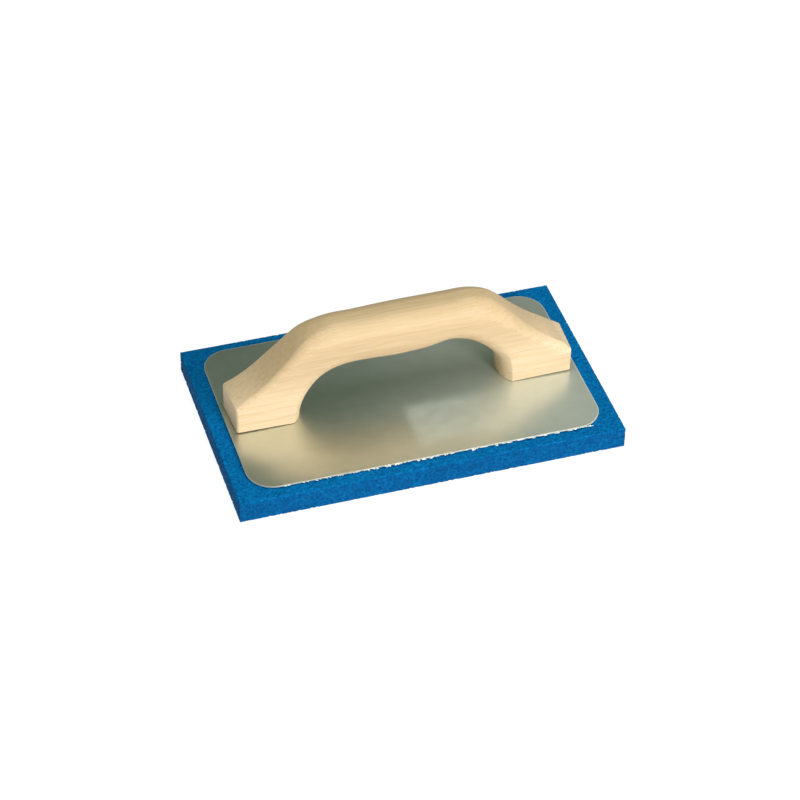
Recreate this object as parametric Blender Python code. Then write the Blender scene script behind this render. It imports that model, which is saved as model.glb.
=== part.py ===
"""Hand float: a coarse-cell rubber pad bonded under a galvanised plate, with a wooden bridge handle.

Units are metres, +X runs along the float and +Z up. The origin is the centre of the pad's
working face. The handle is screwed to the plate from below, and the pad then hides the screws.
"""

from math import asin, cos, pi, radians, sin, sqrt, tan

import bmesh
import bpy
import numpy as np
from mathutils import Matrix

# Clear air that stands in for contact between two pieces.
SEAT_GAP = 0.00025

# Rubber pad, 10 by 6 inches.
PAD_LENGTH = 0.254
PAD_WIDTH = 0.1524
PAD_THICKNESS = 0.015
PAD_EDGE_ROUND = 0.0006

# Contact cement between the pad and the plate.
FILM_THICKNESS = 0.0003
FILM_INSET = 0.0015

# Galvanised plate: the pad shows all round it.
PLATE_THICKNESS = 0.001
PLATE_CORNER_RADIUS = 0.0175
PLATE_END_MARGIN = 0.0105
PLATE_SIDE_MARGIN = 0.0077
PLATE_EDGE_BREAK = 0.0002

# Handle outline, seen from the front. Heights are above the handle's own seat.
HANDLE_END_SETBACK = 0.005
HANDLE_WIDTH = 0.029
HANDLE_HEIGHT = 0.0684
FOOT_LENGTH = 0.0452
FOOT_END_HEIGHT = 0.0195
FOOT_SLOPE = radians(30)
SHOULDER_SLOPE = radians(43)
SHOULDER_HOLLOW_RADIUS = 0.209
CREST_RADIUS = 0.035
ARCH_HEIGHT = 0.038
ARCH_REACH = 0.0353
BELLY_DROP = 0.0034
ARCH_ANGLE_AT_SHOULDER = radians(10)

# Handle section: round where the hand holds it, square at the feet.
GRIP_ROUND = 0.012
FOOT_ROUND = 0.0025
NOSE_DEPTH = 0.0065
NOSE_RADIUS = 0.0185

# Four countersunk wood screws, two in each foot.
SCREW_LENGTH = 0.019
SCREW_THREAD_RADIUS = 0.0021
SCREW_CORE_RADIUS = 0.00145
SCREW_HEAD_RADIUS = 0.0041
SCREW_HEAD_HALF_ANGLE = radians(41)
SCREW_PITCH = 0.0017
SCREW_PLAIN_SHANK = 0.003
SCREW_POINT = 0.004
SCREW_END_DISTANCE = 0.0105
SCREW_SPACING = 0.019
HOLE_CLEARANCE = 0.0003
RECESS_SPAN = 0.0044
RECESS_WIDTH = 0.0010
RECESS_DEPTH = 0.0014
DIMPLE_RIM = 0.0005

# Fineness of the meshes.
SHOULDER_STEPS = 20
FOOT_STEPS = 2
GRIP_STEPS = 7
ROUND_STEPS = 5
CORNER_STEPS = 10
CIRCLE_STEPS = 24
THREAD_SIDES = 12
ROWS_PER_PITCH = 6

# Places that follow from the sizes above.
FILM_BOTTOM = PAD_THICKNESS + SEAT_GAP
PLATE_BOTTOM = FILM_BOTTOM + FILM_THICKNESS + SEAT_GAP
PLATE_TOP = PLATE_BOTTOM + PLATE_THICKNESS
HANDLE_SEAT = PLATE_TOP + SEAT_GAP
PLATE_LENGTH = PAD_LENGTH - 2 * PLATE_END_MARGIN
PLATE_WIDTH = PAD_WIDTH - 2 * PLATE_SIDE_MARGIN
HANDLE_END = PLATE_LENGTH / 2 - HANDLE_END_SETBACK
FOOT_NOSE = HANDLE_END - FOOT_LENGTH
ARCH_CENTRE = FOOT_NOSE - ARCH_REACH
HEAD_FLARE = tan(SCREW_HEAD_HALF_ANGLE)
HEAD_DEPTH = (SCREW_HEAD_RADIUS - SCREW_THREAD_RADIUS) / HEAD_FLARE
HOLE_RADIUS = SCREW_THREAD_RADIUS + HOLE_CLEARANCE
DIMPLE_WALL = PLATE_THICKNESS / cos(SCREW_HEAD_HALF_ANGLE)
DIMPLE_TOP = PLATE_BOTTOM + HEAD_DEPTH + DIMPLE_RIM
SCREW_PLACES = [
    side * (HANDLE_END - SCREW_END_DISTANCE - step * SCREW_SPACING)
    for side in (-1, 1)
    for step in (0, 1)
]


def clear_scene():
    """Remove every object of the scene."""
    for obj in list(bpy.data.objects):
        bpy.data.objects.remove(obj, do_unlink=True)


def material(name, colour, roughness, metallic=0.0):
    """Make a Principled material with one colour."""
    made = bpy.data.materials.new(name)
    made.use_nodes = True
    shader = made.node_tree.nodes["Principled BSDF"]
    shader.inputs["Base Color"].default_value = (*colour, 1.0)
    shader.inputs["Roughness"].default_value = roughness
    shader.inputs["Metallic"].default_value = metallic
    return made


def object_from(bm, name, finish=None):
    """Turn a bmesh into a scene object with outward normals and smooth round faces."""
    bmesh.ops.recalc_face_normals(bm, faces=bm.faces)
    mesh = bpy.data.meshes.new(name)
    bm.to_mesh(mesh)
    bm.free()
    mesh.shade_smooth()
    mesh.set_sharp_from_angle(angle=radians(30))
    if finish:
        mesh.materials.append(finish)
    made = bpy.data.objects.new(name, mesh)
    bpy.context.scene.collection.objects.link(made)
    return made


def add_bevel(obj, width, segments=2):
    """Round the sharp edges of an object."""
    bevel = obj.modifiers.new("edge_round", "BEVEL")
    bevel.width = width
    bevel.segments = segments
    bevel.limit_method = "ANGLE"
    bevel.angle_limit = radians(40)


def add_boolean(obj, other, operation):
    """Cut or join another object, which then only guides the shape."""
    boolean = obj.modifiers.new(operation.lower(), "BOOLEAN")
    boolean.operation = operation
    boolean.solver = "EXACT"
    boolean.object = other
    other.hide_render = True
    other.display_type = "WIRE"


def slab(name, outline, bottom, thickness, finish):
    """Extrude a flat outline upwards from the height of its underside."""
    bm = bmesh.new()
    face = bm.faces.new([bm.verts.new((x, y, bottom)) for x, y in outline])
    lifted = bmesh.ops.extrude_face_region(bm, geom=[face])["geom"]
    points = [item for item in lifted if isinstance(item, bmesh.types.BMVert)]
    bmesh.ops.translate(bm, verts=points, vec=(0, 0, thickness))
    return object_from(bm, name, finish)


def rounded_rectangle(length, width, radius):
    """Outline of a rectangle centred on the origin, with round corners."""
    outline = []
    quarters = ((1, -1, -pi / 2), (1, 1, 0), (-1, 1, pi / 2), (-1, -1, pi))
    for across, along, start in quarters:
        for step in range(CORNER_STEPS + 1):
            angle = start + step * pi / 2 / CORNER_STEPS
            outline.append(
                (
                    across * (length / 2 - radius) + radius * cos(angle),
                    along * (width / 2 - radius) + radius * sin(angle),
                )
            )
    return outline


def turned(name, profile, place_x, finish=None):
    """Turn a profile of (radius, height) points, which starts and ends on the axis, about +Z."""
    bm = bmesh.new()
    rings = []
    for radius, height in profile:
        if radius == 0:
            rings.append([bm.verts.new((place_x, 0, height))])
        else:
            rings.append(ring_at(bm, radius, height, place_x))
    join_rings(bm, rings)
    return object_from(bm, name, finish)


def join_rings(bm, rings):
    """Join neighbouring rings of points with faces. A ring of one point is a pole."""
    for lower, upper in zip(rings, rings[1:]):
        count = max(len(lower), len(upper))
        for step in range(count):
            after = (step + 1) % count
            corners = [
                lower[step % len(lower)],
                lower[after % len(lower)],
                upper[after % len(upper)],
                upper[step % len(upper)],
            ]
            bm.faces.new(list(dict.fromkeys(corners)))


def ease(share):
    """Smooth step from 0 to 1."""
    return share * share * (3 - 2 * share)


def shoulder_profile():
    """Points (x, height) up the shoulder, from the foot's corner to the start of the flat top.

    A hollow arc turns from the foot's slope to the shoulder's, a straight run makes up the
    height that is left, and the crest arc turns level.
    """
    hollow_rise = SHOULDER_HOLLOW_RADIUS * (cos(FOOT_SLOPE) - cos(SHOULDER_SLOPE))
    crest_rise = CREST_RADIUS * (1 - cos(SHOULDER_SLOPE))
    straight_rise = HANDLE_HEIGHT - FOOT_END_HEIGHT - hollow_rise - crest_rise
    hollow_length = SHOULDER_HOLLOW_RADIUS * (SHOULDER_SLOPE - FOOT_SLOPE)
    straight_length = straight_rise / sin(SHOULDER_SLOPE)
    crest_length = CREST_RADIUS * SHOULDER_SLOPE
    lengths = np.array([hollow_length, straight_length, crest_length])
    run = np.linspace(0, lengths.sum(), SHOULDER_STEPS + 1)

    in_hollow = np.clip(run, 0, lengths[0])
    slope = FOOT_SLOPE + in_hollow / SHOULDER_HOLLOW_RADIUS
    inward = SHOULDER_HOLLOW_RADIUS * (np.sin(slope) - sin(FOOT_SLOPE))
    rise = SHOULDER_HOLLOW_RADIUS * (cos(FOOT_SLOPE) - np.cos(slope))
    in_straight = np.clip(run - lengths[0], 0, lengths[1])
    inward += in_straight * cos(SHOULDER_SLOPE)
    rise += in_straight * sin(SHOULDER_SLOPE)
    in_crest = np.clip(run - lengths[0] - lengths[1], 0, lengths[2])
    slope = SHOULDER_SLOPE - in_crest / CREST_RADIUS
    inward += CREST_RADIUS * (sin(SHOULDER_SLOPE) - np.sin(slope))
    rise += CREST_RADIUS * (np.cos(slope) - cos(SHOULDER_SLOPE))
    return np.column_stack([HANDLE_END - inward, FOOT_END_HEIGHT + rise])


def arch_point(angle):
    """Point (x, height) of the hand hole's elliptical end, at an angle from the foot's seat."""
    return ARCH_CENTRE + ARCH_REACH * np.cos(angle), ARCH_HEIGHT * np.sin(angle)


def half_stations():
    """Stations of the right half, from the foot's seat to the middle of the grip.

    Each row is (inner x, inner height, outer x, outer height, roundness inside, roundness
    outside), where roundness goes from 0 at the square foot to 1 in the round grip.
    """
    rows = []
    for share in np.linspace(0, 1, FOOT_STEPS + 1)[:-1]:
        angle = share * ARCH_ANGLE_AT_SHOULDER
        inner = arch_point(angle)
        rows.append((*inner, HANDLE_END, share * FOOT_END_HEIGHT, ease(angle / (pi / 2)), 0))
    shoulder = shoulder_profile()
    for step, outer in enumerate(shoulder):
        share = step / SHOULDER_STEPS
        angle = ARCH_ANGLE_AT_SHOULDER + share * (pi / 2 - ARCH_ANGLE_AT_SHOULDER)
        rows.append((*arch_point(angle), *outer, ease(angle / (pi / 2)), ease(share) ** 1.4))
    crest_start = shoulder[-1][0]
    for share in np.linspace(1, 0, GRIP_STEPS + 1)[1:]:
        belly = BELLY_DROP * (1 + cos(pi * share)) / 2
        inner = (share * ARCH_CENTRE, ARCH_HEIGHT - belly)
        rows.append((*inner, share * crest_start, HANDLE_HEIGHT, 1, 1))
    return rows


def section(row, side):
    """Ring of points round the handle at one station, mirrored to the side given by +1 or -1.

    The underside is a round nose that meets the faces at an edge on the foot and runs into
    them smoothly in the grip. The upper corners are quarter circles.
    """
    inner = np.array([side * row[0], row[1]])
    outer = np.array([side * row[2], row[3]])
    depth = sqrt(((outer - inner) ** 2).sum())
    along = (outer - inner) / depth
    half_width = HANDLE_WIDTH / 2
    grip_round = min(GRIP_ROUND, 0.9 * half_width, 0.45 * depth)
    foot_nose_end = min(asin(min(half_width / NOSE_RADIUS, 1.0)), pi / 2)
    nose_end = foot_nose_end + row[4] * (pi / 2 - foot_nose_end)
    nose_depth = NOSE_DEPTH + row[4] * (grip_round - NOSE_DEPTH)
    nose_flat = row[4] * (half_width - grip_round)
    corner = FOOT_ROUND + row[5] * (grip_round - FOOT_ROUND)

    shape = []
    for step in range(ROUND_STEPS + 1):
        angle = nose_end * step / ROUND_STEPS
        reach = nose_flat + (half_width - nose_flat) * sin(angle) / sin(nose_end)
        shape.append((reach, nose_depth * (1 - cos(angle)) / (1 - cos(nose_end))))
    for step in range(ROUND_STEPS + 1):
        angle = pi / 2 * step / ROUND_STEPS
        shape.append(
            (half_width - corner * (1 - cos(angle)), depth - corner * (1 - sin(angle)))
        )
    mirrored = [(-y, height) for y, height in reversed(shape)]
    ring = []
    for y, height in shape + mirrored:
        x, z = inner + along * height
        ring.append((x, y, HANDLE_SEAT + z))
    return ring


def make_handle(finish):
    """Loft the handle through its stations, with flat seats under both feet."""
    half = half_stations()
    rows = [(row, 1) for row in half] + [(row, -1) for row in reversed(half[:-1])]
    bm = bmesh.new()
    rings = []
    for row, side in rows:
        rings.append([bm.verts.new(point) for point in section(row, side)])
    for lower, upper in zip(rings, rings[1:]):
        for step in range(len(lower)):
            after = (step + 1) % len(lower)
            bm.faces.new([lower[step], lower[after], upper[after], upper[step]])
    bm.faces.new(rings[0])
    bm.faces.new(list(reversed(rings[-1])))
    bmesh.ops.remove_doubles(bm, verts=bm.verts, dist=1e-6)
    handle = object_from(bm, "handle", finish)
    for number, place_x in enumerate(SCREW_PLACES, 1):
        add_boolean(handle, pilot_cutter(number, place_x), "DIFFERENCE")
    return handle


def dimple_radius(height):
    """Outer radius of the plate's dimple at a height above the plate's underside."""
    return SCREW_HEAD_RADIUS + HOLE_CLEARANCE + DIMPLE_WALL - height * HEAD_FLARE


def pilot_cutter(number, place_x):
    """Space for one screw in a foot: a countersink over the plate's dimple, and a pilot hole."""
    below = PLATE_BOTTOM
    sink_top = DIMPLE_TOP + SEAT_GAP
    widening = SEAT_GAP / cos(SCREW_HEAD_HALF_ANGLE)
    profile = [
        (0, below),
        (dimple_radius(0) + widening, below),
        (dimple_radius(sink_top - below) + widening + SEAT_GAP * HEAD_FLARE, sink_top),
        (HOLE_RADIUS, sink_top),
        (HOLE_RADIUS, below + SCREW_LENGTH - SCREW_POINT + HOLE_CLEARANCE),
        (0, below + SCREW_LENGTH + 2 * HOLE_CLEARANCE),
    ]
    return turned(f"pilot_cutter_{number}", profile, place_x)


def ring_at(bm, radius, height, place_x):
    """Ring of points about a vertical axis."""
    turns = [2 * pi * step / CIRCLE_STEPS for step in range(CIRCLE_STEPS)]
    return [bm.verts.new((place_x + radius * cos(a), radius * sin(a), height)) for a in turns]


def fill_sheet(bm, outline, holes):
    """Fill the flat area inside an outline and outside its holes."""
    edges = []
    for loop in [outline, *holes]:
        for first, second in zip(loop, loop[1:] + loop[:1]):
            edges.append(bm.edges.get((first, second)) or bm.edges.new((first, second)))
    bmesh.ops.triangle_fill(bm, use_beauty=True, use_dissolve=False, edges=edges)


def plate_ring(bm, inset, height):
    """Ring of points along the plate's outline, drawn in by the inset."""
    outline = rounded_rectangle(
        PLATE_LENGTH - 2 * inset, PLATE_WIDTH - 2 * inset, PLATE_CORNER_RADIUS - inset
    )
    return [bm.verts.new((x, y, height)) for x, y in outline]


def make_plate(finish):
    """Cut the plate with round corners and press a conical dimple for each screw head.

    The sheet's outer edge is broken above and below, as tumbling leaves it.
    """
    bm = bmesh.new()
    bottom = plate_ring(bm, PLATE_EDGE_BREAK, PLATE_BOTTOM)
    low = plate_ring(bm, 0, PLATE_BOTTOM + PLATE_EDGE_BREAK)
    high = plate_ring(bm, 0, PLATE_TOP - PLATE_EDGE_BREAK)
    top = plate_ring(bm, PLATE_EDGE_BREAK, PLATE_TOP)
    join_rings(bm, [bottom, low, high, top])
    feet, mouths = [], []
    for place_x in SCREW_PLACES:
        profile = [
            (dimple_radius(PLATE_THICKNESS), PLATE_TOP),
            (dimple_radius(DIMPLE_TOP - PLATE_BOTTOM), DIMPLE_TOP),
            (HOLE_RADIUS, DIMPLE_TOP),
            (HOLE_RADIUS, PLATE_BOTTOM + HEAD_DEPTH),
            (SCREW_HEAD_RADIUS + HOLE_CLEARANCE, PLATE_BOTTOM),
        ]
        rings = [ring_at(bm, radius, height, place_x) for radius, height in profile]
        join_rings(bm, rings)
        feet.append(rings[0])
        mouths.append(rings[-1])
    fill_sheet(bm, top, feet)
    fill_sheet(bm, bottom, mouths)
    return object_from(bm, "backing_plate", finish)


def thread_radius(height, turn):
    """Radius of the threaded shank at a height above the head's face and a share of a turn."""
    start = HEAD_DEPTH + SCREW_PLAIN_SHANK
    point_start = SCREW_LENGTH - SCREW_POINT
    if height <= start:
        return SCREW_THREAD_RADIUS
    phase = ((height - start) / SCREW_PITCH - turn) % 1.0
    crest = max(0.0, 1 - 2.5 * min(phase, 1 - phase))
    radius = SCREW_CORE_RADIUS + (SCREW_THREAD_RADIUS - SCREW_CORE_RADIUS) * crest
    taper = min(1.0, (SCREW_LENGTH - height) / (SCREW_LENGTH - point_start))
    return radius * max(taper, 0.0)


def make_screw(number, place_x, finish):
    """One countersunk wood screw, its head's face flush with the underside of the plate."""
    bm = bmesh.new()
    turns = [step / THREAD_SIDES for step in range(THREAD_SIDES)]
    thread_start = HEAD_DEPTH + SCREW_PLAIN_SHANK
    heights = [0.0, 0.15 * HEAD_DEPTH, HEAD_DEPTH, thread_start]
    rows = round((SCREW_LENGTH - thread_start) / SCREW_PITCH * ROWS_PER_PITCH)
    heights += list(np.linspace(thread_start, SCREW_LENGTH, rows + 1)[1:-1])
    rings = [[bm.verts.new((place_x, 0, PLATE_BOTTOM))]]
    for height in heights:
        ring = []
        for turn in turns:
            radius = thread_radius(height, turn)
            if height < HEAD_DEPTH:
                radius = SCREW_HEAD_RADIUS - max(height, 0.15 * HEAD_DEPTH) * HEAD_FLARE
            angle = 2 * pi * turn
            x = place_x + radius * cos(angle)
            ring.append(bm.verts.new((x, radius * sin(angle), PLATE_BOTTOM + height)))
        rings.append(ring)
    rings.append([bm.verts.new((place_x, 0, PLATE_BOTTOM + SCREW_LENGTH))])
    join_rings(bm, rings)
    screw = object_from(bm, f"handle_screw_{number}", finish)
    add_boolean(screw, recess_cutter(number, place_x), "DIFFERENCE")
    return screw


def recess_cutter(number, place_x):
    """Cross-shaped recess for the driver: one outline with four arms, pushed into the head."""
    bm = bmesh.new()
    arm = RECESS_SPAN / 2
    half = RECESS_WIDTH / 2
    quarter = [(arm, -half), (arm, half), (half, half)]
    outline = []
    for turn in range(4):
        angle = turn * pi / 2
        for x, y in quarter:
            outline.append((x * cos(angle) - y * sin(angle), x * sin(angle) + y * cos(angle)))
    below = PLATE_BOTTOM - RECESS_DEPTH
    face = bm.faces.new([bm.verts.new((place_x + x, y, below)) for x, y in outline])
    lifted = bmesh.ops.extrude_face_region(bm, geom=[face])["geom"]
    points = [item for item in lifted if isinstance(item, bmesh.types.BMVert)]
    bmesh.ops.translate(bm, verts=points, vec=(0, 0, 2 * RECESS_DEPTH))
    taper = Matrix.Translation((place_x, 0, 0)) @ Matrix.Diagonal((0.6, 0.6, 1, 1))
    taper = taper @ Matrix.Translation((-place_x, 0, 0))
    bmesh.ops.transform(bm, matrix=taper, verts=points)
    return object_from(bm, f"recess_cutter_{number}")


def make_pad(finish):
    """The rubber pad, a plain block with its cut edges barely broken."""
    bm = bmesh.new()
    size = Matrix.Diagonal((PAD_LENGTH, PAD_WIDTH, PAD_THICKNESS, 1))
    bmesh.ops.create_cube(bm, size=1, matrix=Matrix.Translation((0, 0, PAD_THICKNESS / 2)) @ size)
    pad = object_from(bm, "float_pad", finish)
    add_bevel(pad, PAD_EDGE_ROUND)
    return pad


def make_film(finish):
    """The layer of contact cement, a little smaller than the plate that it holds."""
    outline = rounded_rectangle(
        PLATE_LENGTH - 2 * FILM_INSET,
        PLATE_WIDTH - 2 * FILM_INSET,
        PLATE_CORNER_RADIUS - FILM_INSET,
    )
    return slab("adhesive_film", outline, FILM_BOTTOM, FILM_THICKNESS, finish)


def main():
    """Build every piece of the float."""
    clear_scene()
    make_pad(material("blue_sponge_rubber", (0.012, 0.155, 0.42), 0.9))
    make_film(material("contact_cement", (0.75, 0.70, 0.55), 0.5))
    make_plate(material("galvanised_steel", (0.55, 0.55, 0.50), 0.4, 1.0))
    make_handle(material("pale_hardwood", (0.85, 0.66, 0.42), 0.6))
    screw_finish = material("zinc_plated_steel", (0.70, 0.70, 0.68), 0.35, 1.0)
    for number, place_x in enumerate(SCREW_PLACES, 1):
        make_screw(number, place_x, screw_finish)


main()
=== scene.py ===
"""Studio scene of a hand float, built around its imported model.

The float is a coarse-cell rubber pad under a galvanised plate, with a bare wooden bridge handle.
Lengths are metres, worked out from sizes in millimetres; +X runs along the float and +Z up.
"""

import logging
from dataclasses import dataclass, field
from enum import Enum
from math import asin, cos, pi, radians, sin
from typing import Any

import bmesh
import bpy
import numpy as np
from mathutils import Matrix, Vector

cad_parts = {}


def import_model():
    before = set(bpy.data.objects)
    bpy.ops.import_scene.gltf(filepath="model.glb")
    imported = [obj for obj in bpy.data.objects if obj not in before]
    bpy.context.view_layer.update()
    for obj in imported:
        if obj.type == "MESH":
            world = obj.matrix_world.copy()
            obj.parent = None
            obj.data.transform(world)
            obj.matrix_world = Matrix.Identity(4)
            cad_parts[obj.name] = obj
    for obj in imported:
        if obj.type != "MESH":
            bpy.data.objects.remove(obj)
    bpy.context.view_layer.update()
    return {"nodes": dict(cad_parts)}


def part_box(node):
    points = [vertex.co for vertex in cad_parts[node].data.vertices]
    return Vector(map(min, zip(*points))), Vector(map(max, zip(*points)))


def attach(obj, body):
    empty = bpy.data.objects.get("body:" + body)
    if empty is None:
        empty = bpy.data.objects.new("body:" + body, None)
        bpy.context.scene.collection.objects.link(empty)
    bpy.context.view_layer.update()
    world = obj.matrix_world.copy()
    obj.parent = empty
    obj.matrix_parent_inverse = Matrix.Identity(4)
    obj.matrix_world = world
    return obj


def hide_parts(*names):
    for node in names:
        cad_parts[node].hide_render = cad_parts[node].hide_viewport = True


LOG = logging.getLogger("hand_float")
MM = 0.001
BODY = "root"


class Node(str, Enum):
    """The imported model's nodes."""

    PAD = "float_pad"
    FILM = "adhesive_film"
    PLATE = "backing_plate"
    HANDLE = "handle"


class Slot(str, Enum):
    """Names of the record's material slots; no piece here takes them."""

    RUBBER = "pad_rubber"
    CEMENT = "cement"
    WOOD = "handle_wood"


class Side(Enum):
    """The two ends of the handle."""

    LEFT = -1
    RIGHT = 1


# ---------------------------------------------------------------- small tools


def linear(colour: str) -> tuple[float, float, float, float]:
    """Turn an sRGB hex colour into linear light.

    Args:
        colour: Six hex digits after a hash.

    Returns:
        Linear red, green, blue and an alpha of 1.
    """
    channels = np.array([int(colour[start : start + 2], 16) for start in (1, 3, 5)]) / 255
    curved = ((channels + 0.055) / 1.055) ** 2.4
    values = np.where(channels <= 0.04045, channels / 12.92, curved)
    return (*(float(value) for value in values), 1.0)


def per(size_mm: float) -> float:
    """Texture scale at which one cell of a pattern has a size in millimetres."""
    return 1 / (size_mm * MM)


def live_output(node: bpy.types.Node) -> bpy.types.NodeSocket:
    """First output of a node that its settings leave on."""
    return next(one for one in node.outputs if one.enabled)


def add_node(
    tree: bpy.types.NodeTree,
    kind: str,
    inputs: dict[str | int, Any] | None = None,
    stops: tuple[tuple[float, str], ...] = (),
    **settings: Any,
) -> bpy.types.Node:
    """Add a node with its settings, its input values and its links.

    Args:
        tree: The node tree that gets the node.
        kind: Blender's name for the kind of node.
        inputs: For each input's name or number a value, a node whose first live output is
            linked, or a socket.
        stops: For a colour ramp, its positions and hex colours in order.
        settings: The node's own properties.

    Returns:
        The new node.
    """
    node = tree.nodes.new(kind)
    for name, value in settings.items():
        setattr(node, name, value)
    for place, (position, colour) in enumerate(stops):
        elements = node.color_ramp.elements
        element = elements[place] if place < 2 else elements.new(position)
        element.position = position
        element.color = linear(colour)
    for key, value in (inputs or {}).items():
        if isinstance(key, int):
            socket = node.inputs[key]
        else:
            socket = next(one for one in node.inputs if one.enabled and one.name == key)
        if isinstance(value, bpy.types.Node):
            value = live_output(value)
        if isinstance(value, bpy.types.NodeSocket):
            tree.links.new(value, socket)
        else:
            socket.default_value = value
    return node


def new_material(name: str, **constants: Any) -> tuple[bpy.types.Material, bpy.types.Node]:
    """Make a material whose constant values sit on the shader's own sockets.

    Args:
        name: The material's name.
        constants: Socket names with _ for a space, and their values.

    Returns:
        The material and its Principled shader.
    """
    made = bpy.data.materials.new(name)
    made.use_nodes = True
    shader = made.node_tree.nodes["Principled BSDF"]
    for socket, value in constants.items():
        shader.inputs[socket.replace("_", " ")].default_value = value
    return made, shader


def wire(shader: bpy.types.Node, **sources: bpy.types.Node) -> None:
    """Link nodes to a shader's sockets, named with _ for a space."""
    for socket, source in sources.items():
        shader.id_data.links.new(live_output(source), shader.inputs[socket.replace("_", " ")])


def quads(rows: int, columns: int, wrap: bool = False) -> np.ndarray:
    """Corner numbers of the faces of a grid of points.

    Args:
        rows: Points along the first parameter.
        columns: Points along the second parameter.
        wrap: Whether the last column joins the first.

    Returns:
        One row of four point numbers for each face.
    """
    index = np.arange(rows * columns).reshape(rows, columns)
    if wrap:
        index = np.hstack([index, index[:, :1]])
    corners = [index[:-1, :-1], index[:-1, 1:], index[1:, 1:], index[1:, :-1]]
    return np.stack(corners, axis=-1).reshape(-1, 4)


def solid(
    name: str, points: np.ndarray, faces: list, weld: bool = True, angle: float = 30
) -> bpy.types.Object:
    """Make a closed mesh object with outward normals.

    Args:
        name: The object's name.
        points: Points in metres.
        faces: Lists of point numbers.
        weld: Whether points in one place become one and the faces are turned outwards. Without
            it the faces must already be right.
        angle: Edges sharper than this many degrees stay crisp.

    Returns:
        The object, linked to the scene.
    """
    mesh = bpy.data.meshes.new(name)
    mesh.from_pydata(points.tolist(), [], faces)
    if weld:
        work = bmesh.new()
        work.from_mesh(mesh)
        bmesh.ops.remove_doubles(work, verts=work.verts, dist=1e-6)
        bmesh.ops.recalc_face_normals(work, faces=work.faces)
        work.to_mesh(mesh)
        work.free()
    mesh.shade_smooth()
    mesh.set_sharp_from_angle(angle=radians(angle))
    made = bpy.data.objects.new(name, mesh)
    bpy.context.scene.collection.objects.link(made)
    return made


def dress(piece: bpy.types.Object, finish: bpy.types.Material) -> None:
    """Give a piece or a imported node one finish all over."""
    piece.data.materials.clear()
    piece.data.materials.append(finish)


def ease(share: np.ndarray) -> np.ndarray:
    """Smooth step: 3 s² - 2 s³ of the share, held within 0 and 1."""
    share = np.clip(share, 0, 1)
    return share * share * (3 - 2 * share)


def scatter(cells: np.ndarray, seed: int) -> np.ndarray:
    """Four even random numbers for each cell, the same on every run.

    Each number is the fraction of a large multiple of the sine of the cell's weighted sum.

    Args:
        cells: Whole cell numbers, one row of three for each cell.
        seed: Changes every number.

    Returns:
        Numbers from 0 to 1, one row of four for each cell.
    """
    weights = np.array(
        [
            [12.9898, 39.346, 73.156, 26.651],
            [78.233, 11.135, 52.235, 67.417],
            [37.719, 83.155, 9.151, 45.332],
        ]
    )
    return np.modf(np.abs(np.sin(cells @ weights + seed) * 43758.5453))[0]


# ------------------------------------------------------------------- finishes


@dataclass(frozen=True)
class CutSpongeRubber:
    """Blown sponge rubber, sawn from a sheet: matt, granular, light rims round open cells that painted
    shade darkens.

    The grain of the cell walls, about 0.2 mm, is drawn at 0.7 mm so that it shows. Faces that point
    up or down are lightened as painted light.
    """

    cell_mm: float = 2.0
    grain_mm: float = 0.7
    blotch_mm: float = 9.0
    # The dark end of the blues. Deep cut cells reach it as painted shade.
    dark_and_pit_shade: str = "#003E6C"
    body: str = "#014B80"
    rim: str = "#02639C"
    # Painted light: the colour of faces that point up or down is multiplied by this gain.
    painted_top_light_gain: tuple[float, float, float, float] = (1.6, 1.64, 1.55, 1.0)
    # Painted shade: deeper cut cells darken the colour by this share.
    pit_shade_share: float = -0.12
    cell_share: float = 0.3
    grain_share: float = 0.6
    blotch_share: float = 0.2
    offset: float = 0.06

    def material(self) -> bpy.types.Material:
        """Blend three blues by the depth of the cut cells, as painted shade, and by two sizes of noise,
        then lighten faces that point up or down as painted light.

        Returns:
            The material. It reads two values from the pad's own points: the depth of the cut cells, for
            painted shade, and how far each face points up or down, for painted light.
        """
        made, shader = new_material(
            "cut_sponge_rubber", Roughness=0.85, IOR=1.5, Specular_IOR_Level=0.05
        )
        tree = made.node_tree
        where = add_node(tree, "ShaderNodeTexCoord").outputs["Object"]
        depth = add_node(tree, "ShaderNodeAttribute", attribute_name="cell_depth")
        cells = add_node(tree, "ShaderNodeTexVoronoi", {"Vector": where, "Scale": per(self.cell_mm)})
        grain = add_node(
            tree, "ShaderNodeTexNoise", {"Vector": where, "Scale": per(self.grain_mm), "Detail": 3.0}
        )
        blotch = add_node(
            tree, "ShaderNodeTexNoise", {"Vector": where, "Scale": per(self.blotch_mm), "Detail": 2.0}
        )
        shade: Any = self.offset
        for source, share in (
            # Painted shade: the depth of the cut cells darkens the colour.
            (depth.outputs["Fac"], self.pit_shade_share),
            (cells.outputs["Distance"], self.cell_share),
            (grain, self.grain_share),
            (blotch, self.blotch_share),
        ):
            terms = {0: source, 1: share, 2: shade}
            shade = add_node(tree, "ShaderNodeMath", terms, operation="MULTIPLY_ADD")
        sawn = add_node(
            tree,
            "ShaderNodeValToRGB",
            {"Fac": shade},
            stops=((0.28, self.dark_and_pit_shade), (0.80, self.rim), (0.54, self.body)),
        )
        # Painted light: lighten each face by how far it points up or down.
        painted_top_light_share = add_node(tree, "ShaderNodeAttribute", attribute_name="painted_top_light")
        colour = add_node(
            tree,
            "ShaderNodeMix",
            {"Factor": painted_top_light_share.outputs["Fac"], "A": sawn, "B": self.painted_top_light_gain},
            data_type="RGBA",
            blend_type="MULTIPLY",
        )
        bump = add_node(
            tree, "ShaderNodeBump", {"Height": shade, "Strength": 0.4, "Distance": 0.3 * MM}
        )
        wire(shader, Base_Color=colour, Normal=bump)
        return made


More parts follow.
